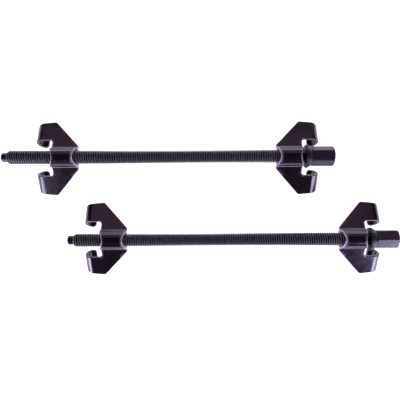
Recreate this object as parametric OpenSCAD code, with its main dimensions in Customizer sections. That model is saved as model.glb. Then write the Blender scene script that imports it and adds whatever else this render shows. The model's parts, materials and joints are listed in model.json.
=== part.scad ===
// Coil spring compressor set: two identical screw tools that lie side by side.
// Millimetres. X runs along the screws from tip to drive hex, Y across, Z up.
// The origin is on the surface that the hooks rest on, at the middle of the set.

/* [Set] */
// Distance between the two screw axes
tool_pitch = 90.5; // [84:0.5:140]
// How far tool 2 is shifted along X from tool 1
tool_shift = 70.2; // [0:0.1:120]
// Distance from the screw tip to the middle of the travelling yoke, tool 1
travel_at_1 = 66.9; // [24:0.1:270]
// Distance from the screw tip to the middle of the travelling yoke, tool 2
travel_at_2 = 49.3; // [24:0.1:270]

/* [Screw] */
// Overall length, from the tip to the end of the drive hex
tool_len = 360; // [345:1:380]
// Thread major diameter, which is also the diameter of the plain neck
rod_d = 14.5; // [14:0.1:15]
// Diameter of the dog point at the tip
dog_d = 10; // [8:0.1:11]
// Length of the dog point
dog_len = 6.6; // [4:0.1:10]
// Length of the cone where the thread starts
lead_len = 1.8; // [1:0.1:3]
// Diameter of the spigot that carries the drive hex
spigot_d = 11; // [9:0.1:12]
// Length of the spigot
spigot_len = 19; // [12:0.5:22]

/* [Drive hex and thrust pieces] */
// Width across the flats of the drive hex
hex_af = 19; // [18:0.1:20]
// Length of the drive hex
hex_len = 25.5; // [24:0.5:30]
// Diameter of the thrust collar
collar_d = 22.8; // [20:0.1:24]
// Thickness of the thrust collar
collar_t = 2; // [1.5:0.1:3]
// Diameter of the loose thrust washer
washer_d = 25.2; // [22:0.1:27]
// Thickness of the loose thrust washer
washer_t = 3; // [2:0.1:3.2]

/* [Yoke] */
// Gap between the head yoke's tunnel and the washer
head_gap = 0.95; // [0.5:0.05:4]
// Length of the tunnel at its feet
tunnel_len = 30.2; // [28:0.1:31]
// Outer radius of the tunnel
tunnel_r = 10.3; // [10:0.1:10.8]
// How far the crest of the tunnel is drawn in at each end
crest_draw = 4; // [1:0.1:4.5]
// Thickness of the plate
plate_t = 3.5; // [3:0.1:4]
// Angle by which each wing leans back from the tunnel
wing_tilt = 26; // [20:1:30]
// Distance from the screw axis to the outer edge of a wing, seen from above
wing_span = 41.3; // [38:0.1:43]
// Length of the straight outer edge, from the hook's extreme
edge_len = 22; // [20:0.5:24]
// How far the outer edge falls towards the screw, along that length
edge_fall = 2; // [0.5:0.1:3]

/* [Hooks] */
// How far the hooks reach past the end of the tunnel
hook_reach = 19.5; // [18:0.1:21]
// Outer radius of the rolled hook
roll_r = 9.2; // [8.8:0.1:9.6]
// Length of the straight lip after the roll
lip_len = 1.9; // [1:0.1:3]
// Distance from the screw axis to the inner edge of a hook, seen from above
hook_inner = 20.6; // [20:0.1:22]
// How much a hook narrows for each millimetre of depth
hook_taper = 0.22; // [0.1:0.01:0.3]

/* [Hidden] */
$fn = 96;

// clearances: running on the screw, touching within one body, and axial play at the washer
run_gap = 0.08;
fit_gap = 0.01;
washer_gap = 0.15;
over = 1;

// screw
rod_r = rod_d / 2;
dog_r = dog_d / 2;
dog_chamfer = 1.1;
lead_r = rod_r - 1.7;
spigot_r = spigot_d / 2;
spigot_chamfer = 0.8;
hex_x = tool_len - hex_len;
collar_x = hex_x - collar_t;
washer_x = collar_x - washer_gap - washer_t;
small_chamfer = 0.4;

// drive hex: the corners are turned to a cone at both ends
hex_corner_r = hex_af / 2 / cos(30);
hex_turned_r = hex_corner_r + 0.5;
hex_cone_r = 9;
hex_cone_slope = 1.3;
hex_end_r = 9.7;
hex_end_len = 0.75;
hex_turn = [30, 0];
spigot_room = 0.5;

// yoke, with its hooks towards -X and the screw axis along X through the origin
bore_r = rod_r + run_gap;
tunnel_half = tunnel_len / 2;
head_at = washer_x - head_gap - tunnel_half;
root_z = 2.25;
fillet_r = 3;
s_out = wing_span / cos(wing_tilt);
s_in = hook_inner / cos(wing_tilt);
s_root = 8;
hook_x = -tunnel_half - hook_reach;
roll_x = hook_x + roll_r;
lip_x = roll_x + lip_len;
notch_x = -tunnel_half + 0.9;
notch_r = 4;
notch_low = 14.5;
notch_foot = 11.5;
root_half = tunnel_half - 0.3;
shoulder_s = 14.6;
slant_x = hook_x + edge_len;
s_hook = s_out - edge_fall;
s_roll = s_out - edge_fall * (slant_x - roll_x) / edge_len;
corner_r = 4;
lip_corner_r = 4;
crest_r = (pow(tunnel_r, 2) + pow(crest_draw, 2)) / 2 / crest_draw;
mouth_r = 8.9;
mouth_len = 4.2;
below = 40;

// where the fillet between tunnel and wing has its centre, across and up from the screw axis
fillet_n = fillet_r + root_z * cos(wing_tilt);
fillet_s = sqrt(pow(tunnel_r + fillet_r, 2) - pow(fillet_n, 2));
fillet_y = fillet_s * cos(wing_tilt) + fillet_n * sin(wing_tilt);
fillet_z = fillet_n * cos(wing_tilt) - fillet_s * sin(wing_tilt);
fillet_foot = [fillet_y - fillet_r * sin(wing_tilt), fillet_z - fillet_r * cos(wing_tilt)];
section_inset = 0.5;

// saddle under the tunnel, and the beads that hold it
saddle_half_w = 9.5;
saddle_floor = 12.5;
saddle_len = 26;
bead_leg = 3;
bead_len = 22;

// the lip's outer corner is the lowest point, so it sets the height of the screw
s_low = s_out - hook_taper * 2 * roll_r;
axis_z = s_low * sin(wing_tilt) + 2 * roll_r * cos(wing_tilt) - root_z;
tip_x = [-(tool_len + tool_shift) / 2, -(tool_len - tool_shift) / 2];
axis_y = [tool_pitch / 2, -tool_pitch / 2];
travel_at = [travel_at_1, travel_at_2];

function unit(v) = v / norm(v);

// An angle brought into -180 to 180
function near_turn(a) = a > 180 ? a - 360 : a < -180 ? a + 360 : a;

// The points that round off corner b, between a and c, to radius r
function rounded(a, b, c, r, n = 5) =
    let (to_a = unit(a - b), to_c = unit(c - b), half = acos(to_a * to_c) / 2)
    let (centre = b + unit(to_a + to_c) * r / sin(half))
    let (first = b + to_a * r / tan(half) - centre, last = b + to_c * r / tan(half) - centre)
    let (start = atan2(first[1], first[0]), turn = near_turn(atan2(last[1], last[0]) - start))
    [for (i = [0 : n]) centre + r * [cos(start + turn * i / n), sin(start + turn * i / n)]];

// Height of a wing's under face at a distance y from the screw axis
function under_z(y) = root_z - y * tan(wing_tilt) - plate_t / cos(wing_tilt);

// ---- placing ----

module tool(n) translate([tip_x[n - 1], axis_y[n - 1], axis_z]) children();

module at_head(n) tool(n) translate([head_at, 0, 0]) mirror([1, 0, 0]) children();

module at_travel(n) tool(n) translate([travel_at[n - 1], 0, 0]) children();

module along_x() rotate([0, 90, 0]) children();

// A section drawn in Y and Z becomes a bar along X, centred on the origin
module bar(len) translate([-len / 2, 0, 0]) rotate([90, 0, 90]) linear_extrude(len) children();

// The frame of a wing: X along the screw, Y outwards in the plate, Z off its upper face
module wing_frame() translate([0, 0, root_z]) rotate([-wing_tilt, 0, 0]) children();

module both_sides(across = [0, 1, 0]) {
    children();
    mirror(across) children();
}

// ---- screw ----

module threaded_rod() color([0.1, 0.1, 0.11]) along_x() rotate_extrude() polygon([
    [0, 0],
    [dog_r - dog_chamfer, 0],
    [dog_r, dog_chamfer],
    [dog_r, dog_len],
    [lead_r, dog_len],
    [rod_r, dog_len + lead_len],
    [rod_r, hex_x],
    [spigot_r, hex_x],
    [spigot_r, hex_x + spigot_len - spigot_chamfer],
    [spigot_r - spigot_chamfer, hex_x + spigot_len],
    [0, hex_x + spigot_len]]);

module drive_hex(n) color([0.16, 0.13, 0.18]) translate([hex_x, 0, 0]) along_x() difference() {
    intersection() {
        rotate([0, 0, hex_turn[n - 1]]) cylinder(r = hex_corner_r, h = hex_len, $fn = 6);
        rotate_extrude() polygon([
            [0, 0],
            [hex_cone_r, 0],
            [hex_turned_r, hex_cone_slope * (hex_turned_r - hex_cone_r)],
            [hex_turned_r, hex_len - hex_end_len],
            [hex_corner_r, hex_len - hex_end_len],
            [hex_end_r, hex_len],
            [0, hex_len]]);
    }
    translate([0, 0, -over]) cylinder(r = spigot_r + fit_gap, h = spigot_len + over + spigot_room);
}

module ring(outer_r, inner_r, t) along_x() rotate_extrude() polygon([
    [inner_r, 0],
    [outer_r - small_chamfer, 0],
    [outer_r, small_chamfer],
    [outer_r, t - small_chamfer],
    [outer_r - small_chamfer, t],
    [inner_r, t]]);

module thrust_collar() color([0.45, 0.44, 0.47])
    translate([collar_x, 0, 0]) ring(collar_d / 2, rod_r + fit_gap, collar_t);

module thrust_washer() color([0.08, 0.08, 0.09])
    translate([washer_x, 0, 0]) ring(washer_d / 2, rod_r + run_gap, washer_t);

// ---- yoke ----

// The flat of one wing, from inside the tunnel wall to the outer edge
module wing_outline() polygon(concat(
    [[roll_x, s_in]],
    rounded([roll_x, s_in], [notch_x, s_in], [notch_x, notch_low], notch_r),
    [[notch_x, notch_low], [-root_half, notch_foot], [-root_half, s_root], [root_half, s_root]],
    rounded([root_half, s_root], [root_half, shoulder_s], [slant_x, s_out], corner_r),
    rounded([root_half, shoulder_s], [slant_x, s_out], [roll_x, s_roll], corner_r),
    [[roll_x, s_roll]]));

module wing_plate() translate([0, 0, -plate_t]) linear_extrude(plate_t) wing_outline();

// The strip rolled through half a turn, and its straight lip underneath
module rolled_hook() {
    strip_w = s_out - s_in;
    translate([roll_x, s_in, -roll_r]) rotate([-90, 0, 0]) difference() {
        cylinder(r = roll_r, h = strip_w);
        translate([0, 0, -over]) cylinder(r = roll_r - plate_t, h = strip_w + 2 * over);
        translate([0, -roll_r - over, -over]) cube([roll_r + over, 2 * roll_r + 2 * over, strip_w + 2 * over]);
    }
    translate([roll_x, s_in, -2 * roll_r]) cube([lip_len, strip_w, plate_t]);
}

// What the slanting outer side of a hook leaves out, over a stretch of X and below a depth
module taper_cut(x_low, x_high, depth) translate([x_low, 0, 0])
    rotate([90, 0, 90]) linear_extrude(x_high - x_low) polygon([
        [s_out - hook_taper * depth, -depth],
        [s_out + below, -depth],
        [s_out + below, -below],
        [s_out - hook_taper * below, -below]]);

// What the fall of the outer edge leaves out of a hook, all the way down
module fall_cut() translate([0, 0, -below]) linear_extrude(below + over) polygon([
    [roll_x, s_roll],
    [roll_x, s_out + below],
    [hook_x - roll_r, s_out + below],
    [hook_x - roll_r, s_hook - edge_fall * roll_r / edge_len]]);

// A square corner of the lip less its rounding; turn is the corner's own angle
module lip_corner(s, side) translate([lip_x, s, -2 * roll_r - over])
    linear_extrude(roll_r + over) difference() {
        translate([-lip_corner_r, side > 0 ? -lip_corner_r : -over]) square(lip_corner_r + over);
        translate([-lip_corner_r, -side * lip_corner_r]) circle(r = lip_corner_r);
    }

module wing() wing_frame() difference() {
    union() {
        wing_plate();
        rolled_hook();
    }
    taper_cut(hook_x - over, roll_x, 0);
    fall_cut();
    taper_cut(roll_x, lip_x + over, roll_r);
    lip_corner(s_in, -1);
    lip_corner(s_out - hook_taper * (2 * roll_r - plate_t / 2), 1);
}

// Solid section of the tunnel: the round crest and the fillets, closed inside the wings and the bore
module tunnel_section() intersection() {
    union() {
        circle(r = tunnel_r);
        both_sides([1, 0, 0]) difference() {
            polygon([
                [0, 0],
                [fillet_y, fillet_z],
                fillet_foot,
                fillet_foot - plate_t * [sin(wing_tilt), cos(wing_tilt)],
                [0, -below]]);
            translate([fillet_y, fillet_z]) circle(r = fillet_r);
        }
    }
    polygon([
        [0, under_z(0) + section_inset],
        [below, under_z(below) + section_inset],
        [below, below],
        [-below, below],
        [-below, under_z(below) + section_inset]]);
}

// The crest is drawn in at each end, as it is when the plate is pressed
module crest_cuts() for (side = [-1, 1])
    translate([side * (tunnel_half - crest_draw + crest_r), 0, -root_z]) cylinder(r = crest_r, h = below);

module bore() {
    along_x() translate([0, 0, -below]) cylinder(r = bore_r, h = 2 * below);
    for (side = [0, 1]) mirror([side, 0, 0]) along_x()
        translate([0, 0, tunnel_half - mouth_len]) cylinder(r1 = bore_r, r2 = mouth_r, h = mouth_len + fit_gap);
}

module yoke() color([0.13, 0.1, 0.15]) difference() {
    union() {
        bar(tunnel_len) tunnel_section();
        both_sides() wing();
    }
    crest_cuts();
    bore();
}

// ---- pieces welded under the tunnel ----

module saddle() color([0.12, 0.11, 0.13]) difference() {
    bar(saddle_len) polygon([
        [-saddle_half_w + over, -saddle_floor],
        [saddle_half_w - over, -saddle_floor],
        [saddle_half_w, -saddle_floor + over],
        [saddle_half_w, under_z(saddle_half_w) - fit_gap],
        [0, under_z(0) - fit_gap],
        [-saddle_half_w, under_z(saddle_half_w) - fit_gap],
        [-saddle_half_w, -saddle_floor + over]]);
    bore();
}

// Beads in the corners between the saddle's sides and the wings
module welds() color([0.2, 0.18, 0.22]) both_sides() bar(bead_len) polygon([
    [saddle_half_w + fit_gap, under_z(saddle_half_w) - 2 * fit_gap],
    [saddle_half_w + bead_leg, under_z(saddle_half_w + bead_leg) - fit_gap],
    [saddle_half_w + fit_gap, under_z(saddle_half_w) - bead_leg]]);

tool(1) threaded_rod();  // tool1_threaded_rod
tool(1) drive_hex(1);  // tool1_drive_hex
tool(1) thrust_collar();  // tool1_thrust_collar
tool(1) thrust_washer();  // tool1_thrust_washer
at_head(1) yoke();  // tool1_head_yoke
at_head(1) saddle();  // tool1_guide_saddle
at_head(1) welds();  // tool1_head_welds
at_travel(1) yoke();  // tool1_travel_yoke
at_travel(1) saddle();  // tool1_nut_saddle
at_travel(1) welds();  // tool1_travel_welds
tool(2) threaded_rod();  // tool2_threaded_rod
tool(2) drive_hex(2);  // tool2_drive_hex
tool(2) thrust_collar();  // tool2_thrust_collar
tool(2) thrust_washer();  // tool2_thrust_washer
at_head(2) yoke();  // tool2_head_yoke
at_head(2) saddle();  // tool2_guide_saddle
at_head(2) welds();  // tool2_head_welds
at_travel(2) yoke();  // tool2_travel_yoke
at_travel(2) saddle();  // tool2_nut_saddle
at_travel(2) welds();  // tool2_travel_welds
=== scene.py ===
import json
import math

import bmesh
import bpy
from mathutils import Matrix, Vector
from mathutils.geometry import delaunay_2d_cdt


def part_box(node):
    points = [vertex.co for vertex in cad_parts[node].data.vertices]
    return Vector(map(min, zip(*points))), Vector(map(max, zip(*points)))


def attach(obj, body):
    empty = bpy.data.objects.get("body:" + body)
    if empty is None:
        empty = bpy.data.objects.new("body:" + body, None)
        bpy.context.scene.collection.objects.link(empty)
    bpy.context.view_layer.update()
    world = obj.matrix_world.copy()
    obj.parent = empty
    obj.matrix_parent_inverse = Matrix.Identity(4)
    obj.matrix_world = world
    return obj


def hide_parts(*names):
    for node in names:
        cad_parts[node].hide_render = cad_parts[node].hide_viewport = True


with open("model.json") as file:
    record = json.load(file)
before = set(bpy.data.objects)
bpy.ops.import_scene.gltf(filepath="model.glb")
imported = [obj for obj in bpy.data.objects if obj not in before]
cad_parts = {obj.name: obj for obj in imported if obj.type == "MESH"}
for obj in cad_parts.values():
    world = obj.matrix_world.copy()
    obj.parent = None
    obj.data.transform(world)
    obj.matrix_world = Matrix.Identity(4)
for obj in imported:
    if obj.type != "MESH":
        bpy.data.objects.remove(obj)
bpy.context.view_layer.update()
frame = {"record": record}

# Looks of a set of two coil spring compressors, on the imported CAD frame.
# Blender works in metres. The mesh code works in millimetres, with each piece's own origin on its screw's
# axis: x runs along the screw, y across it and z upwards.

MM = 0.001
TOOLS = ("tool1", "tool2")
SLOTS = {s["node"]: s["material_slot"] for s in frame["record"]["subparts"]}

# ---- the pressed yoke, in millimetres, with its hooks towards -x ----

TILT = math.radians(26)  # how far each wing slopes down
COS, SIN = math.cos(TILT), math.sin(TILT)
ROOT_Z = 2.25  # height above the axis at which the two wings' outer skins would meet
PLATE_T = 3.5
TUNNEL_R, BORE_R = 10.3, 7.33
TUNNEL_HALF = 15.1  # half of the tunnel's length along its sides
CREST_DRAW = 4.0  # how much shorter the tunnel's crest is at each end
CREST_R = (TUNNEL_R**2 + CREST_DRAW**2) / 2 / CREST_DRAW
MOUTH_R, MOUTH_LEN = 8.9, 4.2  # the bore widens to this radius over this length at each end
FOLD_R = 3.0  # of the outer skin where the tunnel folds out into a wing
HOOK_X = -34.6  # the hooks' furthest point
ROLL_R, LIP_LEN = 9.2, 1.9  # the hooks' half turn, and the flat lip after it
ROLL_X = HOOK_X + ROLL_R
HOOK_TAPER, TAPER_FADE = 0.22, 8.0  # share of its depth that a hook's outer side draws in, and its onset
EDGE_FALL, EDGE_LEN = 2.0, 22.0  # how far the wing's outer edge draws in, over which length
HOOK_IN, HOOK_OUT = 20.6 / COS, 41.3 / COS  # the hooks' inner and outer edges, along the slope
NOTCH_X, NOTCH_R = -14.2, 4.0  # the end of the notch between tunnel and hook, and its corner
NOTCH_FOOT, NOTCH_LOW = 11.5, 14.5  # where the tunnel's end stops and the notch starts, along the slope
NOTCH_LOW_R = 2.0
SHOULDER, SLANT_X = 14.6, -12.6  # the slanted edge, from its place along the slope to its x
CORNER_R = 4.0  # of the outline's other corners
RIM_R = 0.75  # rounding of the sheet's edge
EDGE_STEP = 1.1  # longest gap between the outline's points

# ---- the screw and its drive hex ----

PITCH = 2.5
SCREW_R, ROOT_R = 7.25, 5.6
THREAD = ((0.0, 0.0), (0.24, 0.0), (0.46, 1.0), (0.62, 1.0), (0.84, 0.0), (1.0, 0.0))  # place, depth
LEAD_LEN = 1.9  # the thread rises from its root over this length
RUNOUT_LEN, RUNOUT_AT = 3.5, 4.0  # it fills up over this length, from this far before its end
THREAD_HIDDEN = 0.8  # how far inside the head yoke's tunnel it ends
DOG_R, DOG_LEN, DOG_FACE_R, DOG_BEVEL = 5.0, 6.6, 3.9, 1.1
SPIGOT_R = 5.5
HEX_FLATS = 19.0
SOCKET_R, SOCKET_DEPTH = 5.51, 19.5
HEX_TURN = (0, 30)  # in degrees, for tool 1 and tool 2
HEX_WEAR = (0.06, 0.8)
PLAIN_WEAR = 0.2  # wear of the unthreaded parts, too low to show as bare steel

# ---- the saddles and their welds ----

SADDLE_BEVEL = 0.35
WELD_LEG = 3.0
RIPPLE = 1.55  # distance between a bead's ripples


def clamp(v, low=0.0, high=1.0):
    return max(low, min(high, v))


def ease(v):
    v = clamp(v)
    return v * v * (3 - 2 * v)


def mix(a, b, k):
    return a + (b - a) * k


# ---- mesh helpers ----


def new_object(name, verts, faces, normals=None, marks=None, mirror_x=False, at=(0, 0, 0)):
    """A smooth mesh object from points in millimetres; at is where its own origin goes."""
    if mirror_x:
        verts = [(-x, y, z) for x, y, z in verts]
        faces = [tuple(reversed(f)) for f in faces]
        normals = [(-x, y, z) for x, y, z in normals]
    mesh = bpy.data.meshes.new(name)
    mesh.from_pydata([(x * MM, y * MM, z * MM) for x, y, z in verts], [], faces)
    mesh.validate()
    mesh.shade_smooth()
    for mark, values in (marks or {}).items():
        mesh.attributes.new(mark, "FLOAT", "POINT").data.foreach_set("value", values)
    if normals is not None:
        mesh.normals_split_custom_set_from_vertices(normals)
    obj = bpy.data.objects.new(name, mesh)
    obj.location = [v * MM for v in at]
    bpy.context.scene.collection.objects.link(obj)
    return obj


def place(obj, body, node):
    """Rides on its body, stands for its CAD node and takes the finish of that node's slot."""
    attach(obj, body)
    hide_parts(node)
    obj.data.materials.append(MATERIALS[SLOTS[node]])


def weld_close(obj, distance=1e-6):
    """Joins points that coincide, and turns every face outwards."""
    mesh = obj.data
    bm = bmesh.new()
    bm.from_mesh(mesh)
    bmesh.ops.remove_doubles(bm, verts=bm.verts, dist=distance)
    bmesh.ops.dissolve_degenerate(bm, edges=bm.edges, dist=distance)
    bmesh.ops.recalc_face_normals(bm, faces=bm.faces)
    bm.to_mesh(mesh)
    bm.free()
    mesh.shade_smooth()


def weighted(obj, sharp_deg=None):
    """Large faces keep their own shading beside small rounded ones."""
    if sharp_deg is not None:
        obj.data.set_sharp_from_angle(angle=math.radians(sharp_deg))
    mod = obj.modifiers.new("weighted", "WEIGHTED_NORMAL")
    mod.keep_sharp = sharp_deg is not None
    mod.weight = 80


def around(x, r, segments):
    """A ring of points round the x axis."""
    angles = (2 * math.pi * i / segments for i in range(segments))
    return [(x, r * math.cos(a), r * math.sin(a)) for a in angles]


def bridge(ring1, ring2):
    """Faces between two closed rings of equally many points."""
    count = len(ring1)
    return [(ring1[i], ring1[(i + 1) % count], ring2[(i + 1) % count], ring2[i]) for i in range(count)]


def rounded(a, b, c, r, n=6):
    """Points that round off corner b, between a and c."""
    a, b, c = Vector(a), Vector(b), Vector(c)
    to_a, to_c = (a - b).normalized(), (c - b).normalized()
    half = to_a.angle(to_c) / 2
    centre = b + (to_a + to_c).normalized() * r / math.sin(half)
    first, last = b + to_a * r / math.tan(half) - centre, b + to_c * r / math.tan(half) - centre
    start = math.atan2(first.y, first.x)
    turn = (math.atan2(last.y, last.x) - start + math.pi) % (2 * math.pi) - math.pi
    angles = (start + turn * i / n for i in range(n + 1))
    return [tuple(centre + r * Vector((math.cos(t), math.sin(t)))) for t in angles]


# ---- the bent sheet: u runs over it from the tunnel's crest, s along the wing's slope from the middle plane,
# and w through it from the outer skin at 0 to the inner one at 1 ----

FOLD_NORMAL = FOLD_R + ROOT_Z * COS
FOLD_ALONG = math.sqrt((TUNNEL_R + FOLD_R) ** 2 - FOLD_NORMAL**2)
FOLD_Y = FOLD_ALONG * COS + FOLD_NORMAL * SIN
FOLD_Z = FOLD_NORMAL * COS - FOLD_ALONG * SIN
ARCH_ANGLE = math.pi / 2 - math.atan2(FOLD_Z, FOLD_Y)
ARCH_U = TUNNEL_R * ARCH_ANGLE
FOLD_FROM = math.atan2(-FOLD_Z, -FOLD_Y) % (2 * math.pi)
FOLD_TO = math.atan2(-COS, -SIN) % (2 * math.pi)
FOLD_U = ARCH_U + FOLD_R * (FOLD_TO - FOLD_FROM)
FOLD_S = FOLD_Y * COS - (FOLD_Z - ROOT_Z) * SIN
ROLL_LEN = math.pi * ROLL_R
BLANK_END = ROLL_X - ROLL_LEN - LIP_LEN


def u_of_s(s):
    return FOLD_U + s - FOLD_S


def crest_x(y):
    """Where the tunnel ends at a distance y from its middle line."""
    return TUNNEL_HALF - CREST_DRAW + CREST_R - math.sqrt(max(CREST_R**2 - min(abs(y), TUNNEL_R) ** 2, 0))


def bore_at(x):
    """Inner radius of the tunnel, which opens to a mouth at each end."""
    return BORE_R + (MOUTH_R - BORE_R) * ease((abs(x) - TUNNEL_HALF + MOUTH_LEN) / MOUTH_LEN)


def fold_point(u, x, w):
    """Where the tunnel's side turns out into the wing, as y and z."""
    k = clamp((u - ARCH_U) / (FOLD_U - ARCH_U))
    a = FOLD_FROM + (u - ARCH_U) / FOLD_R
    r = FOLD_R + w * mix(TUNNEL_R - bore_at(x), PLATE_T, k)
    return FOLD_Y + r * math.cos(a), FOLD_Z + r * math.sin(a)


def wing_point(x, s, w):
    """A point of the flat wing, the roll or the lip, where x is still the flat sheet's."""
    r = ROLL_R - PLATE_T * w
    if x >= ROLL_X:
        n = -PLATE_T * w
    elif x >= ROLL_X - ROLL_LEN:
        a = (ROLL_X - x) / ROLL_R
        x, n = ROLL_X - r * math.sin(a), -ROLL_R + r * math.cos(a)
    else:
        x, n = 2 * ROLL_X - ROLL_LEN - x, -ROLL_R - r
    if s > HOOK_IN:
        fade = ease((ROLL_X + TAPER_FADE - x) / TAPER_FADE) if n > -PLATE_T - 0.01 else 1.0
        loss = max(-HOOK_TAPER * n * fade, EDGE_FALL * max(SLANT_X - x, 0) / EDGE_LEN)
        s -= loss * (s - HOOK_IN) / (HOOK_OUT - HOOK_IN)
    return x, s * COS + n * SIN, ROOT_Z - s * SIN + n * COS


def sheet_point(x, u, w):
    """Any point of the sheet in its bent form; a negative u is the other side's."""
    side, u = (-1, -u) if u < 0 else (1, u)
    if u <= ARCH_U:
        r = mix(TUNNEL_R, bore_at(x), w)
        p = x, r * math.sin(u / TUNNEL_R), r * math.cos(u / TUNNEL_R)
    elif u <= FOLD_U:
        p = (x, *fold_point(u, x, w))
    else:
        p = wing_point(x, FOLD_S + u - FOLD_U, w)
    return Vector((p[0], side * p[1], p[2]))


def sheet_frame(x, u, w):
    """The sheet's own directions at a point: along x, across, and off the outer skin."""
    step = 0.02
    along = (sheet_point(x + step, u, w) - sheet_point(x - step, u, w)).normalized()
    across = (sheet_point(x, u + step, w) - sheet_point(x, u - step, w)).normalized()
    return along, across, along.cross(across).normalized()


# ---- the yoke's outline and points on the flat sheet, as (x, u) ----


def spread(points, step):
    """The same path with no gap longer than step."""
    out = [points[0]]
    for a, b in zip(points, points[1:]):
        n = max(1, math.ceil(math.dist(a, b) / step))
        out += [(mix(a[0], b[0], i / n), mix(a[1], b[1], i / n)) for i in range(1, n + 1)]
    return out


def half_outline():
    """Edge of the flat sheet on one side, from the crest's hook end round to its other end."""
    arch = [ARCH_U * i / 20 for i in range(21)]
    hook_end = [(-crest_x(TUNNEL_R * math.sin(u / TUNNEL_R)), u) for u in arch]
    far_end = [(crest_x(TUNNEL_R * math.sin(u / TUNNEL_R)), u) for u in reversed(arch)]
    inner, outer = u_of_s(HOOK_IN), u_of_s(HOOK_OUT)
    corners = [
        (hook_end[-1], None, None),
        ((-TUNNEL_HALF, u_of_s(NOTCH_FOOT)), NOTCH_LOW_R, 3),
        ((NOTCH_X, u_of_s(NOTCH_LOW)), NOTCH_LOW_R, 3),
        ((NOTCH_X, inner), NOTCH_R, 8),
        ((BLANK_END, inner), CORNER_R, 8),
        ((BLANK_END, outer), CORNER_R, 8),
        ((SLANT_X, outer), CORNER_R, 6),
        ((TUNNEL_HALF, u_of_s(SHOULDER)), CORNER_R, 6),
        (far_end[0], None, None),
    ]
    path = [hook_end[-1]]
    for (a, _, _), (b, r, n), (c, _, _) in zip(corners, corners[1:], corners[2:]):
        path += rounded(a, b, c, r, n)
    path += [far_end[0]]
    return hook_end[:-1] + spread(path, EDGE_STEP) + far_end[1:]


def full_outline():
    """The whole edge as a closed clockwise loop."""
    half = half_outline()
    loop = [Vector(p) for p in half] + [Vector((x, -u)) for x, u in reversed(half[1:-1])]
    area = sum(a.x * b.y - b.x * a.y for a, b in zip(loop, loop[1:] + loop[:1]))
    if area > 0:
        loop.reverse()
    return loop


def offset_loop(loop, distance):
    """The closed loop moved inwards, and each point's outward direction."""
    out, normals = [], []
    count = len(loop)
    for i in range(count):
        a, b, c = (Vector(loop[(i + k) % count]) for k in (-1, 0, 1))
        d1, d2 = (b - a).normalized(), (c - b).normalized()
        n1, n2 = Vector((-d1.y, d1.x)), Vector((-d2.y, d2.x))
        n = (n1 + n2).normalized()
        out.append(b - n * distance / max(n.dot(n1), 0.5))
        normals.append(n)
    return out, normals


def edge_distance(p, a, b):
    """How far p lies from the straight edge between a and b."""
    dx, dy = b[0] - a[0], b[1] - a[1]
    t = clamp(((p[0] - a[0]) * dx + (p[1] - a[1]) * dy) / max(dx * dx + dy * dy, 1e-12))
    return math.hypot(p[0] - a[0] - t * dx, p[1] - a[1] - t * dy)


def grid_lines():
    """The x and u at which the sheet gets points, closest together across its bends."""
    us = [ARCH_U * i / 20 for i in range(21)]
    us += [mix(ARCH_U, FOLD_U, i / 6) for i in range(1, 7)]
    u = FOLD_U + 2
    while u < u_of_s(HOOK_OUT):
        us.append(u)
        u += 3.2
    us += [-u for u in us if u > 0]
    xs = [ROLL_X - ROLL_LEN * i / 26 for i in range(27)]
    xs += [ROLL_X + 2.2 * i for i in range(1, 4)]
    x = -13.8
    while x < TUNNEL_HALF:
        xs.append(x)
        x += 1.15 if abs(x) > TUNNEL_HALF - MOUTH_LEN - 1.2 else 3.0
    return xs, us


def grid_points(loop):
    """Points inside the closed loop, none of them close to its edge."""
    xs, us = grid_lines()
    edges = list(zip(loop, loop[1:] + loop[:1]))
    keep = []
    for u in us:
        crossed = [(a, b) for a, b in edges if (a[1] > u) != (b[1] > u)]
        crossings = sorted(mix(a[0], b[0], (u - a[1]) / (b[1] - a[1])) for a, b in crossed)
        for low, high in zip(crossings[::2], crossings[1::2]):
            keep += [(x, u) for x in xs if low + 0.45 < x < high - 0.45]
    return [p for p in keep if all(edge_distance(p, a, b) > 0.4 for a, b in edges)]


# ---- the yoke's mesh ----


class Sheet:
    """The pressing's mesh while it is made, with its rim marks for wear and painted highlight and its fold
    marks for a painted highlight.
    """

    def __init__(self):
        self.verts, self.normals, self.rim, self.crease, self.faces = [], [], [], [], []

    def add(self, point, normal, rim, crease=0.0):
        self.verts.append(tuple(point))
        self.normals.append(tuple(normal))
        self.rim.append(rim)
        self.crease.append(crease)
        return len(self.verts) - 1


def rim_wear_and_highlight(u):
    """Rubbed-through metal and painted highlight: full at the tunnel's ends, less along the notch and hardly
    any outside it.
    """
    if abs(u) < FOLD_U:
        return 1.0
    return 0.5 if abs(u) < u_of_s(HOOK_IN) + 0.6 else 0.06


def fold_painted_highlight(u):
    # Painted highlight line: strongest midway round the fold, gone at its ends.
    middle = (abs(u) - ARCH_U) / (FOLD_U - ARCH_U) - 0.5
    return clamp(1 - abs(middle) / 0.24)


def add_skins(sheet, points, triangles):
    """The outer skin with its normals outwards, then the inner skin with them reversed."""
    for w, sign in ((0, 1), (1, -1)):
        base = len(sheet.verts)
        for p in points:
            normal = sheet_frame(p.x, p.y, w)[2] * sign
            sheet.add(sheet_point(p.x, p.y, w), normal, 0.0, fold_painted_highlight(p.y) if w == 0 else 0.0)
        for t in triangles:
            a, b, c = (points[i] for i in t)
            up = (b - a).cross(c - a) > 0
            ordered = t if up == (sign > 0) else reversed(t)
            sheet.faces.append(tuple(base + i for i in ordered))


def add_rim_ring(sheet, edge, out_dirs, thick, angle, inner):
    """One ring of the rounded edge, at an angle down from the outer skin or up from the inner one."""
    ring = []
    for p, d, t in zip(edge, out_dirs, thick):
        q = p + d * RIM_R * math.sin(angle)
        depth = min(RIM_R, 0.46 * t) * (1 - math.cos(angle)) / t
        w = 1 - depth if inner else depth
        along, across, n = sheet_frame(q.x, q.y, w)
        outward = (along * d.x + across * d.y).normalized()
        lean = n * math.cos(angle) * (-1 if inner else 1)
        normal = (lean + outward * math.sin(angle)).normalized()
        ring.append(sheet.add(sheet_point(q.x, q.y, w), normal, rim_wear_and_highlight(p.y)))
    return ring


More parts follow.
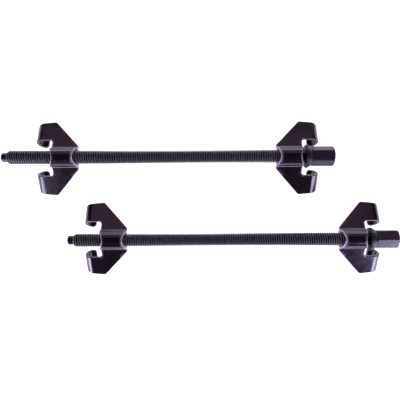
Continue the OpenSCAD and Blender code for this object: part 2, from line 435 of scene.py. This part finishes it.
def yoke_mesh():
    """Verts, faces, normals and wear marks of the pressed sheet, with both skins and its rounded edge."""
    edge, out_dirs = offset_loop(full_outline(), RIM_R)
    count = len(edge)
    flat = edge + [Vector(p) for p in grid_points([tuple(p) for p in edge])]
    points, _, triangles, origins = delaunay_2d_cdt(flat, [], [list(range(count))], 1, 1e-4)[:4]
    new_of = {old: i for i, olds in enumerate(origins) for old in olds}
    sheet = Sheet()
    add_skins(sheet, points, triangles)
    outer_ring = [new_of[i] for i in range(count)]
    inner_ring = [len(points) + i for i in outer_ring]
    thick = [(sheet_point(p.x, p.y, 0) - sheet_point(p.x, p.y, 1)).length for p in edge]
    quarter = [math.pi / 2 * i / 3 for i in range(1, 4)]
    rings = [outer_ring]
    rings += [add_rim_ring(sheet, edge, out_dirs, thick, a, False) for a in quarter]
    rings += [add_rim_ring(sheet, edge, out_dirs, thick, a, True) for a in reversed(quarter)]
    rings += [inner_ring]
    for ring1, ring2 in zip(rings, rings[1:]):
        sheet.faces += bridge(ring1, ring2)
    for ring in (outer_ring, inner_ring):
        for i, p in zip(ring, edge):
            sheet.rim[i] = 0.5 * rim_wear_and_highlight(p.y)
    return sheet.verts, sheet.faces, sheet.normals, {"rim": sheet.rim, "crease": sheet.crease}


# ---- lathe, thread, hex, saddle and bead meshes ----


def lathe(profile, segments=96):
    """Surface round the x axis; the profile's points are (x, r), and an r of 0 closes an end."""
    verts, faces, rings = [], [], []
    for x, r in profile:
        if r <= 0:
            rings.append([len(verts)] * segments)
            verts.append((x, 0, 0))
        else:
            rings.append(list(range(len(verts), len(verts) + segments)))
            verts += around(x, r, segments)
    for ring1, ring2 in zip(rings, rings[1:]):
        for quad in bridge(ring1, ring2):
            face = tuple(dict.fromkeys(quad))
            if len(face) > 2:
                faces.append(face)
    return verts, faces


def round_profile(points, radii, n=3):
    """Rounds each inner corner of an (x, r) path to its radius."""
    out = [points[0]]
    for a, b, c, r in zip(points, points[1:], points[2:], radii):
        out += rounded(a, b, c, r, n)
    return out + [points[-1]]


def thread_depth(phase):
    """How deep in the thread a point lies, 0 on the crest and 1 in the root; phase runs along one pitch."""
    for (p0, d0), (p1, d1) in zip(THREAD, THREAD[1:]):
        if phase <= p1:
            return mix(d0, d1, (phase - p0) / (p1 - p0))


def thread_radius(x, phase, start, stop):
    """The thread's radius, which rises from the root at its start and fills up towards its stop."""
    r = mix(SCREW_R, ROOT_R, thread_depth(phase))
    lead = mix(ROOT_R, SCREW_R, clamp((x - start) / LEAD_LEN))
    runout = mix(ROOT_R, SCREW_R, clamp((x - stop + RUNOUT_AT) / RUNOUT_LEN))
    return min(max(r, runout), lead)


def thread_mesh(start, stop, segments):
    """Right-hand helical thread, and how worn each point is: 1 on the crest, which the material lightens as
    wear and as a painted highlight.
    """
    phases = [p for p, _ in THREAD[:-1]]
    rows = (math.ceil((stop - start) / PITCH) + 2) * len(phases)
    verts, faces, worn = [], [], []
    for i in range(rows):
        phase = phases[i % len(phases)]
        lead = start + (i // len(phases) - 1 + phase) * PITCH
        for j in range(segments):
            a = 2 * math.pi * j / segments
            x = clamp(lead + PITCH * j / segments, start, stop)
            r = thread_radius(x, 0 if x in (start, stop) else phase, start, stop)
            verts.append((x, r * math.cos(a), r * math.sin(a)))
            worn.append(1 - thread_depth(phase))
    for i in range(rows - 1):
        for j in range(segments):
            row = i if j + 1 < segments else i + len(phases)
            if row + 1 >= rows:
                continue
            here, beside = i * segments + j, row * segments + (j + 1) % segments
            faces.append((here, beside, beside + segments, here + segments))
    return verts, faces, worn


def screw_mesh(stop, hex_x, spigot_end):
    """Dog point, thread, plain neck and spigot, and how worn each point is, which on the crests also drives a
    painted highlight.
    """
    segments = 56
    verts, faces, worn = thread_mesh(DOG_LEN, stop, segments)
    tip = [(0, 0), (0, DOG_FACE_R), (DOG_BEVEL, DOG_R), (DOG_LEN, DOG_R), (DOG_LEN, ROOT_R)]
    tail = [(stop, SCREW_R), (hex_x - 0.3, SCREW_R), (hex_x - 0.1, SCREW_R - 0.1)]
    tail += [(hex_x, SPIGOT_R), (spigot_end, SPIGOT_R), (spigot_end, 0)]
    for part in (round_profile(tip, (0.35, 0.35, 0.2)), tail):
        v, f = lathe(part, segments)
        base = len(verts)
        verts += v
        worn += [PLAIN_WEAR] * len(v)
        faces += [tuple(base + i for i in face) for face in f]
    return verts, faces, worn


def hex_profile(length, turn, a):
    """The hex's outline at the angle a as (x, r), from its coned front face to the middle of its back."""
    cone_r, slope, end_r, end_len = 9.0, 1.3, 9.7, 0.75
    corner_wear = 0.28
    corner = HEX_FLATS / 2 / math.cos(math.pi / 6)
    off_flat = (a - turn) % (math.pi / 3) - math.pi / 6
    r = min(HEX_FLATS / 2 / math.cos(off_flat), corner - corner_wear)
    front = slope * max(r - cone_r, 0)
    back = length - end_len * clamp((r - end_r) / (corner - end_r))
    return [
        (0.0, min(cone_r, r)),
        (front * 0.94, mix(cone_r, r, 0.94)),
        (front + 0.22, r),
        (front + 1.2, r),
        (back - 1.2, r),
        (back - 0.2, r),
        (back + 0.12 * (length - back), r - 0.18),
        (length, min(end_r, r) - 0.45),
        (length, 6.5),
        (length, 0.0),
    ]


def hex_mesh(length, turn):
    """Drive hex with turned cones at both ends, worn corners and a blind hole for the spigot."""
    segments = 144
    socket = [(SOCKET_DEPTH, 0.0), (SOCKET_DEPTH, SOCKET_R), (0.0, SOCKET_R)]
    angles = [2 * math.pi * i / segments for i in range(segments)]
    outlines = [socket + hex_profile(length, turn, a) for a in angles]
    verts, faces = [], []
    for station in zip(*outlines):
        verts += [(x, r * math.cos(a), r * math.sin(a)) for (x, r), a in zip(station, angles)]
    starts = range(0, len(verts), segments)
    for first, second in zip(starts, starts[1:]):
        faces += bridge(range(first, first + segments), range(second, second + segments))
    return verts, faces


def saddle_section(x, half_w, floor_z):
    """Closed (y, z) outline of a saddle at x: flat below, and following the sheet and the bore above."""
    bore = bore_at(x)
    low, high = ARCH_U, FOLD_U
    for _ in range(30):
        middle = (low + high) / 2
        low, high = (low, middle) if fold_point(middle, x, 1)[0] > half_w else (middle, high)
    lip = [fold_point(mix(low, ARCH_U, i / 8), x, 1) for i in range(9)]
    start = math.asin(clamp(lip[-1][1] / bore, -1, 1))
    angles = [mix(start, -math.pi / 2, i / 14) for i in range(1, 15)]
    arc = [(bore * math.cos(a), bore * math.sin(a)) for a in angles]
    half = [(half_w - 1, floor_z), (half_w, floor_z + 1)] + lip + arc
    return half + [(-y, z) for y, z in reversed(half[:-1])]


def saddle_mesh(length, half_w, floor_z):
    """Block under the tunnel, open at the top where the screw passes."""
    half_stations = [length / 2, length / 2 - 1.0, TUNNEL_HALF - MOUTH_LEN]
    verts, faces, rings = [], [], []
    for x in [-x for x in half_stations] + [0] + half_stations[::-1]:
        points = saddle_section(x, half_w, floor_z)
        rings.append(list(range(len(verts), len(verts) + len(points))))
        verts += [(x, y, z) for y, z in points]
    for ring1, ring2 in zip(rings, rings[1:]):
        faces += [(a, d, c, b) for a, b, c, d in bridge(ring1, ring2)]
    faces.append(tuple(reversed(rings[0])))
    faces.append(tuple(rings[-1]))
    return verts, faces


def wing_underside(y):
    return ROOT_Z - y * math.tan(TILT) - PLATE_T / COS


def bead_row(t, x, half_w):
    """A bead's (y, z) section, from the saddle's side out to the wing, and its inner corner."""
    corner = (half_w + 0.01, wing_underside(half_w) - 0.02)
    low = (half_w + 0.01, wing_underside(half_w) - WELD_LEG)
    high = (half_w + WELD_LEG, wing_underside(half_w + WELD_LEG) - 0.01)
    from_middle = abs(t - 0.5) * 2
    end = math.sqrt(clamp(1 - ((from_middle - 0.86) / 0.14) ** 2)) if from_middle > 0.86 else 1.0
    scale = max(end, 0.02) * (0.9 + 0.1 * math.sin(x * 1.3) ** 2)
    ripple = 0.5 + 0.5 * math.cos(2 * math.pi * x / RIPPLE)
    row = []
    for j in range(9):
        k = j / 8
        y = mix(corner[0], mix(low[0], high[0], k), scale)
        z = mix(corner[1], mix(low[1], high[1], k), scale)
        bulge = math.sin(math.pi * k) * (0.12 + 0.3 * ripple) * scale
        row.append((y + bulge * 0.33, z - bulge * 0.498))
    return row + [corner]


def bead_mesh(side, length, half_w):
    """Rippled fillet weld in the corner between the saddle's side and the wing."""
    rows = 89
    verts, faces, rings = [], [], []
    for i in range(rows):
        t = i / (rows - 1)
        x = (t - 0.5) * length
        section = bead_row(t, x, half_w)
        rings.append(list(range(len(verts), len(verts) + len(section))))
        verts += [(x, side * y, z) for y, z in section]
    for ring1, ring2 in zip(rings, rings[1:]):
        faces += [(a, d, c, b) for a, b, c, d in bridge(ring1, ring2)]
    faces.append(tuple(rings[0]))
    faces.append(tuple(reversed(rings[-1])))
    return verts, faces


# ---- materials ----


class Nodes:
    """Short calls for building one material's node tree."""

    def __init__(self, name):
        self.material = bpy.data.materials.new(name)
        self.material.use_nodes = True
        self.tree = self.material.node_tree
        self.bsdf = self.tree.nodes["Principled BSDF"]
        self.coords = self.tree.nodes.new("ShaderNodeTexCoord").outputs["Object"]

    def new(self, kind):
        return self.tree.nodes.new(kind)

    def link(self, source, target):
        self.tree.links.new(source, target)

    def fill(self, socket, value):
        """Sets a socket to a colour or number, or links it to another node's output."""
        if isinstance(value, tuple):
            socket.default_value = (*value, 1)
        elif isinstance(value, (int, float)):
            socket.default_value = value
        else:
            self.link(value, socket)

    def noise(self, scale, detail, rough, stretch=None):
        node = self.new("ShaderNodeTexNoise")
        node.inputs["Scale"].default_value = scale
        node.inputs["Detail"].default_value = detail
        node.inputs["Roughness"].default_value = rough
        source = self.coords
        if stretch:
            mapping = self.new("ShaderNodeMapping")
            mapping.inputs["Scale"].default_value = stretch
            self.link(self.coords, mapping.inputs["Vector"])
            source = mapping.outputs["Vector"]
        self.link(source, node.inputs["Vector"])
        return node.outputs["Fac"]

    def ramp(self, source, *stops):
        """Maps a value to colours or numbers through (place, value) stops."""
        node = self.new("ShaderNodeValToRGB")
        items = node.color_ramp.elements
        while len(items) < len(stops):
            items.new(0.5)
        for item, (at, value) in zip(items, stops):
            item.position = at
            item.color = (*value, 1) if isinstance(value, tuple) else (value, value, value, 1)
        self.link(source, node.inputs["Fac"])
        return node.outputs["Color"]

    def math(self, operation, a, b):
        node = self.new("ShaderNodeMath")
        node.operation = operation
        for socket, value in zip(node.inputs, (a, b)):
            self.fill(socket, value)
        return node.outputs[0]

    def times(self, a, b):
        return self.math("MULTIPLY", a, b)

    def blend(self, factor, a, b):
        node = self.new("ShaderNodeMix")
        node.data_type = "RGBA"
        sockets = [s for s in node.inputs if s.enabled]
        for socket, value in zip(sockets, (factor, a, b)):
            self.fill(socket, value)
        return [s for s in node.outputs if s.enabled][0]

    def position(self):
        """The point's own x, y and z, as outputs."""
        node = self.new("ShaderNodeSeparateXYZ")
        self.link(self.coords, node.inputs[0])
        return node.outputs

    def attribute(self, name):
        node = self.new("ShaderNodeAttribute")
        node.attribute_name = name
        return node.outputs["Fac"]

    def bump(self, height, strength, distance, below=None):
        node = self.new("ShaderNodeBump")
        node.inputs["Strength"].default_value = strength
        node.inputs["Distance"].default_value = distance
        self.link(height, node.inputs["Height"])
        if below:
            self.link(below, node.inputs["Normal"])
        return node.outputs["Normal"]

    def finish(self, colour, rough, normal, **constants):
        self.link(colour, self.bsdf.inputs["Base Color"])
        self.link(rough, self.bsdf.inputs["Roughness"])
        self.link(normal, self.bsdf.inputs["Normal"])
        for name, value in constants.items():
            self.bsdf.inputs[name.replace("_", " ")].default_value = value
        return self.material


def yoke_paint():
    """Glossy near-black plum paint, with rubbed-through metal and a painted highlight along its rims, and a
    painted highlight line along its folds.
    """
    m = Nodes("yoke_paint")
    dark, middle, light = (0.006, 0.0025, 0.005), (0.008, 0.0035, 0.0072), (0.011, 0.0055, 0.0105)
    # Dust specks, then the rims' rubbed-through metal, which also serves as a painted highlight, then the
    # folds' painted highlight line.
    dust, bare_metal_and_highlight, fold_highlight_colour = (0.03, 0.027, 0.05), (0.62, 0.58, 0.70), (0.34, 0.31, 0.40)
    colour = m.ramp(m.noise(38, 5, 0.6), (0.3, dark), (0.55, middle), (0.75, light))
    speck = m.ramp(m.noise(1500, 2, 0.5), (0.62, 0.0), (0.74, 1.0))
    colour = m.blend(m.times(speck, 0.3), colour, dust)
    patchy = m.ramp(m.noise(180, 4, 0.7), (0.3, 0.35), (0.6, 1.0))
    # Rims lightened: partly real wear, partly painted highlight on the tunnel's end edges.
    wear = m.times(m.attribute("rim"), patchy)
    colour = m.blend(m.times(wear, 0.8), colour, bare_metal_and_highlight)
    # Painted highlight line along the middle of each fold.
    painted_fold_line = m.times(m.attribute("crease"), patchy)
    colour = m.blend(m.times(painted_fold_line, 0.7), colour, fold_highlight_colour)
    rough = m.ramp(m.noise(120, 5, 0.6), (0.3, 0.15), (0.7, 0.23))
    peel = m.bump(m.noise(420, 3, 0.5), 0.55, 0.00006)
    normal = m.bump(m.noise(900, 3, 0.6), 0.2, 0.00003, peel)
    return m.finish(colour, rough, normal, Specular_Tint=(0.94, 0.86, 1.0, 1.0), IOR=1.55)


def screw_steel():
    """Black oxide, rubbed through to steel on the thread's crests; the crests' lighter colour is also a
    painted highlight for the thread's glints.
    """
    m = Nodes("screw_steel")
    dark, middle, light = (0.003, 0.003, 0.0033), (0.006, 0.006, 0.0065), (0.012, 0.0115, 0.0125)
    # Crest colour and mask below: partly real rubbed-off oxide, partly painted highlight standing in for the
    # glints on the thread's crests.
    bare_metal_and_highlight = (0.16, 0.156, 0.166)
    oxide = m.ramp(m.noise(160, 4, 0.6), (0.3, dark), (0.6, middle), (0.8, light))
    patchy = m.ramp(m.noise(300, 4, 0.7), (0.3, 0.5), (0.6, 1.0))
    crest_wear_and_highlight = m.ramp(m.attribute("worn"), (0.9, 0.0), (0.99, 1.0))
    colour = m.blend(m.times(crest_wear_and_highlight, m.times(patchy, 0.8)), oxide, bare_metal_and_highlight)
    rough = m.ramp(m.noise(500, 4, 0.6), (0.3, 0.2), (0.7, 0.36))
    normal = m.bump(m.noise(900, 3, 0.6, (1, 6, 6)), 0.3, 0.00004)
    return m.finish(colour, rough, normal, IOR=1.36)


def hex_steel():
    """Dark steel, scuffed on the face that leans 30 degrees from +z towards -y."""
    m = Nodes("hex_steel")
    base = m.ramp(m.noise(90, 5, 0.65), (0.3, (0.014, 0.009, 0.014)), (0.7, (0.03, 0.021, 0.034)))
    _, y, z = m.position()
    facing, full_scale = math.radians(30), 0.02
    lean = m.math("ADD", m.times(y, -math.sin(facing)), m.times(z, math.cos(facing)))
    side = m.ramp(m.times(lean, 1 / full_scale), (0.44, 0.0), (0.468, 1.0))
    scuff = m.ramp(m.noise(620, 6, 0.8), (0.54, 0.0), (0.6, 1.0))
    wear = m.times(m.times(side, scuff), m.attribute("worn"))
    colour = m.blend(m.times(wear, 0.8), base, (0.30, 0.30, 0.39))
    rough = m.ramp(m.noise(240, 4, 0.6), (0.3, 0.26), (0.7, 0.45))
    normal = m.bump(m.noise(520, 6, 0.8), 0.9, 0.00008)
    return m.finish(colour, rough, normal, Specular_Tint=(0.95, 0.9, 1.0, 1.0), IOR=1.42)


def turned_steel(name, dark, light, rough_low, rough_high, metallic):
    """Steel with fine marks that run round the screw's axis."""
    m = Nodes(name)
    colour = m.ramp(m.noise(200, 5, 0.6), (0.3, dark), (0.7, light))
    rough = m.ramp(m.noise(350, 4, 0.6), (0.3, rough_low), (0.7, rough_high))
    normal = m.bump(m.noise(800, 4, 0.6, (5, 1, 1)), 0.35, 0.00004)
    return m.finish(colour, rough, normal, Metallic=metallic, IOR=1.5)


def weld_metal():
    """Dull painted bead."""
    m = Nodes("weld_metal")
    colour = m.ramp(m.noise(300, 5, 0.7), (0.3, (0.012, 0.009, 0.014)), (0.7, (0.03, 0.026, 0.036)))
    rough = m.ramp(m.noise(500, 4, 0.6), (0.3, 0.28), (0.7, 0.5))
    normal = m.bump(m.noise(1200, 4, 0.6), 0.5, 0.00006)
    return m.finish(colour, rough, normal, IOR=1.6)


def floor_paper():
    """White paper that glows evenly under the tools, and fades from y = -0.27 m to a third at -0.45 m."""
    m = Nodes("floor_paper")
    colour = m.ramp(m.noise(60, 3, 0.5), (0.3, (0.93, 0.93, 0.935)), (0.7, (0.96, 0.96, 0.96)))
    rough = m.ramp(m.noise(300, 3, 0.5), (0.3, 0.85), (0.7, 0.95))
    normal = m.bump(m.noise(2500, 2, 0.5), 0.1, 0.00003)
    along_y = m.math("ADD", m.times(m.position()["Y"], 2.0), 1.0)
    m.link(m.ramp(along_y, (0.1, 0.35), (0.46, 1.0)), m.bsdf.inputs["Emission Color"])
    return m.finish(colour, rough, normal, Emission_Strength=1.0, Specular_IOR_Level=0.1)


MATERIALS = {
    "yoke_paint": yoke_paint(),
    "screw_steel": screw_steel(),
    "hex_steel": hex_steel(),
    "weld_metal": weld_metal(),
}
TURNED = (
    ("collar_steel", (0.035, 0.032, 0.042), (0.10, 0.095, 0.12), 0.22, 0.4, 0.25),
    ("washer_steel", (0.004, 0.0038, 0.0045), (0.009, 0.0085, 0.01), 0.35, 0.55, 0.0),
    ("saddle_steel", (0.012, 0.009, 0.014), (0.024, 0.019, 0.028), 0.3, 0.45, 0.0),
)
for finish in TURNED:
    MATERIALS[finish[0]] = turned_steel(*finish)

# ---- pieces ----


def axis_of(tool):
    """The rod's lowest x, and the y and z of its axis, in millimetres."""
    low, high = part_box(f"{tool}_threaded_rod")
    return low.x / MM, (low.y + high.y) / 2 / MM, (low.z + high.z) / 2 / MM


def build_yokes(tool, verts, faces, normals, marks):
    _, y, z = axis_of(tool)
    for kind, body in (("head", "frame"), ("travel", "traveller")):
        low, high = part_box(f"{tool}_{kind}_yoke")
        mirrored = kind == "head"
        at = (high.x / MM + HOOK_X if mirrored else low.x / MM - HOOK_X, y, z)
        name = f"{tool}_{kind}_yoke_pressing"
        pressing = new_object(name, verts, faces, normals, marks, mirrored, at)
        place(pressing, f"{tool}_{body}", f"{tool}_{kind}_yoke")
        half_w = build_saddle(tool, kind, body, at)
        build_beads(tool, kind, body, at, half_w)


def build_saddle(tool, kind, body, at):
    """The block under one yoke; returns half its width."""
    saddle = "guide_saddle" if kind == "head" else "nut_saddle"
    low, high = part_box(f"{tool}_{saddle}")
    size = (high - low) / MM
    verts, faces = saddle_mesh(size.x, size.y / 2, low.z / MM - at[2])
    block = new_object(f"{tool}_{saddle}_block", verts, faces, at=at)
    weld_close(block)
    bevel = block.modifiers.new("edges", "BEVEL")
    bevel.width = SADDLE_BEVEL * MM
    bevel.segments = 2
    bevel.limit_method = "ANGLE"
    bevel.angle_limit = math.radians(50)
    weighted(block, 45)
    place(block, f"{tool}_{body}", f"{tool}_{saddle}")
    return size.y / 2


def build_beads(tool, kind, body, at, half_w):
    """Both weld beads of one saddle, as one piece."""
    low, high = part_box(f"{tool}_{kind}_welds")
    verts, faces = [], []
    for side in (1, -1):
        v, f = bead_mesh(side, (high.x - low.x) / MM, half_w)
        faces += [tuple(len(verts) + i for i in face) for face in f]
        verts += v
    beads = new_object(f"{tool}_{kind}_weld_beads", verts, faces, at=at)
    weld_close(beads)
    place(beads, f"{tool}_{body}", f"{tool}_{kind}_welds")


def build_screw(tool):
    x, y, z = axis_of(tool)
    _, rod_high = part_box(f"{tool}_threaded_rod")
    hex_low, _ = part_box(f"{tool}_drive_hex")
    head_low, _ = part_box(f"{tool}_head_yoke")
    stop = head_low.x / MM - x + CREST_DRAW + THREAD_HIDDEN
    verts, faces, worn = screw_mesh(stop, hex_low.x / MM - x, rod_high.x / MM - x)
    screw = new_object(f"{tool}_screw", verts, faces, marks={"worn": worn}, at=(x, y, z))
    weld_close(screw, 2e-6)
    weighted(screw, 50)
    place(screw, f"{tool}_screw", f"{tool}_threaded_rod")


def build_hex(tool, turn, wear):
    _, y, z = axis_of(tool)
    low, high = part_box(f"{tool}_drive_hex")
    verts, faces = hex_mesh((high.x - low.x) / MM, math.radians(turn))
    marks = {"worn": [wear] * len(verts)}
    drive_hex = new_object(f"{tool}_hex", verts, faces, marks=marks, at=(low.x / MM, y, z))
    weld_close(drive_hex)
    weighted(drive_hex, 35)
    place(drive_hex, f"{tool}_screw", f"{tool}_drive_hex")


def build_ring(tool, piece, body, corner):
    """Collar or washer: a flat ring with its outer corners rounded."""
    low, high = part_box(f"{tool}_{piece}")
    _, y, z = axis_of(tool)
    t, r = (high.x - low.x) / MM, (high.z - low.z) / 2 / MM
    path = [(t / 2, BORE_R), (0, BORE_R), (0, r), (t, r), (t, BORE_R), (t / 2, BORE_R)]
    verts, faces = lathe(round_profile(path, (0.2, corner, corner, 0.2), 4))
    ring = new_object(f"{tool}_{piece}_ring", verts, faces, at=(low.x / MM, y, z))
    weld_close(ring)
    weighted(ring)
    place(ring, f"{tool}_{body}", f"{tool}_{piece}")


YOKE = yoke_mesh()
for tool in TOOLS:
    build_yokes(tool, *YOKE)
for tool, turn, wear in zip(TOOLS, HEX_TURN, HEX_WEAR):
    build_screw(tool)
    build_hex(tool, turn, wear)
    build_ring(tool, "thrust_collar", "screw", 0.5)
    build_ring(tool, "thrust_washer", "washer", 0.7)

# ---- floor, light and camera, in metres ----

FLOOR_HALF, FLOOR_DROP = 1.6, 0.0005
WORLD_COLOUR, WORLD_STRENGTH = (0.8, 0.78, 0.9, 1), 0.05
LAVENDER, LILAC, ROSE = (0.74, 0.70, 1.0), (0.92, 0.87, 1.0), (1.0, 0.62, 0.9)
LEFT_HOOKS, RIGHT_HOOKS, MIDDLE = (-0.14, -0.03, 0.02), (0.16, -0.03, 0.02), (0, 0, 0.02)
CAM_AT = (-0.0001, -0.00287, 0.4768)
CAM_TILT, CAM_ROLL = math.radians(-2.497), math.radians(-0.246)
LENS, SENSOR, SHIFT_Y = 39.2364, 36.0, 0.05


def build_floor():
    bm = bmesh.new()
    bmesh.ops.create_grid(bm, x_segments=8, y_segments=8, size=FLOOR_HALF)
    mesh = bpy.data.meshes.new("floor")
    bm.to_mesh(mesh)
    bm.free()
    floor = bpy.data.objects.new("floor", mesh)
    floor.location.z = -FLOOR_DROP
    mesh.materials.append(floor_paper())
    bpy.context.scene.collection.objects.link(floor)


def area_light(name, at, aim, width, height, power, colour):
    data = bpy.data.lights.new(name, "AREA")
    data.shape = "RECTANGLE"
    data.size = width
    data.size_y = height
    data.energy = power
    data.color = colour
    lamp = bpy.data.objects.new(name, data)
    lamp.location = at
    lamp.rotation_mode = "QUATERNION"
    lamp.rotation_quaternion = (Vector(aim) - Vector(at)).to_track_quat("-Z", "Y")
    bpy.context.scene.collection.objects.link(lamp)


def build_lights():
    """Three boxes at the front for the bands on the hooks' rolls, two at the back for the other wings."""
    world = bpy.data.worlds.new("studio")
    world.use_nodes = True
    background = world.node_tree.nodes["Background"]
    background.inputs["Color"].default_value = WORLD_COLOUR
    background.inputs["Strength"].default_value = WORLD_STRENGTH
    bpy.context.scene.world = world
    area_light("left_low", (-0.555, -0.392, 0.10), (-0.14, -0.03, 0.03), 0.36, 0.19, 3.6, LAVENDER)
    area_light("left_high", (-0.560, -0.386, 0.315), LEFT_HOOKS, 0.33, 0.24, 2.3, LAVENDER)
    area_light("right_box", (0.530, -0.359, 0.20), RIGHT_HOOKS, 0.34, 0.36, 5.4, LAVENDER)
    area_light("back_strip", (0.0, 0.75, 0.14), MIDDLE, 1.3, 0.16, 3.2, LILAC)
    area_light("back_top", (0.0, 0.69, 0.60), MIDDLE, 1.1, 0.42, 0.9, ROSE)


def build_camera():
    """Straight above, leaning by a few degrees; its height counts from the screws' axes."""
    axis_z = axis_of(TOOLS[0])[2] * MM
    data = bpy.data.cameras.new("camera")
    data.sensor_width = SENSOR
    data.lens = LENS
    data.shift_y = SHIFT_Y
    data.clip_start = 0.01
    data.clip_end = 20
    camera = bpy.data.objects.new("camera", data)
    camera.location = (CAM_AT[0], CAM_AT[1], CAM_AT[2] + axis_z)
    camera.rotation_euler = (CAM_TILT, 0, CAM_ROLL)
    bpy.context.scene.collection.objects.link(camera)
    bpy.context.scene.camera = camera


build_floor()
build_lights()
build_camera()
bpy.context.scene.view_settings.view_transform = "Standard"
bpy.context.view_layer.update()
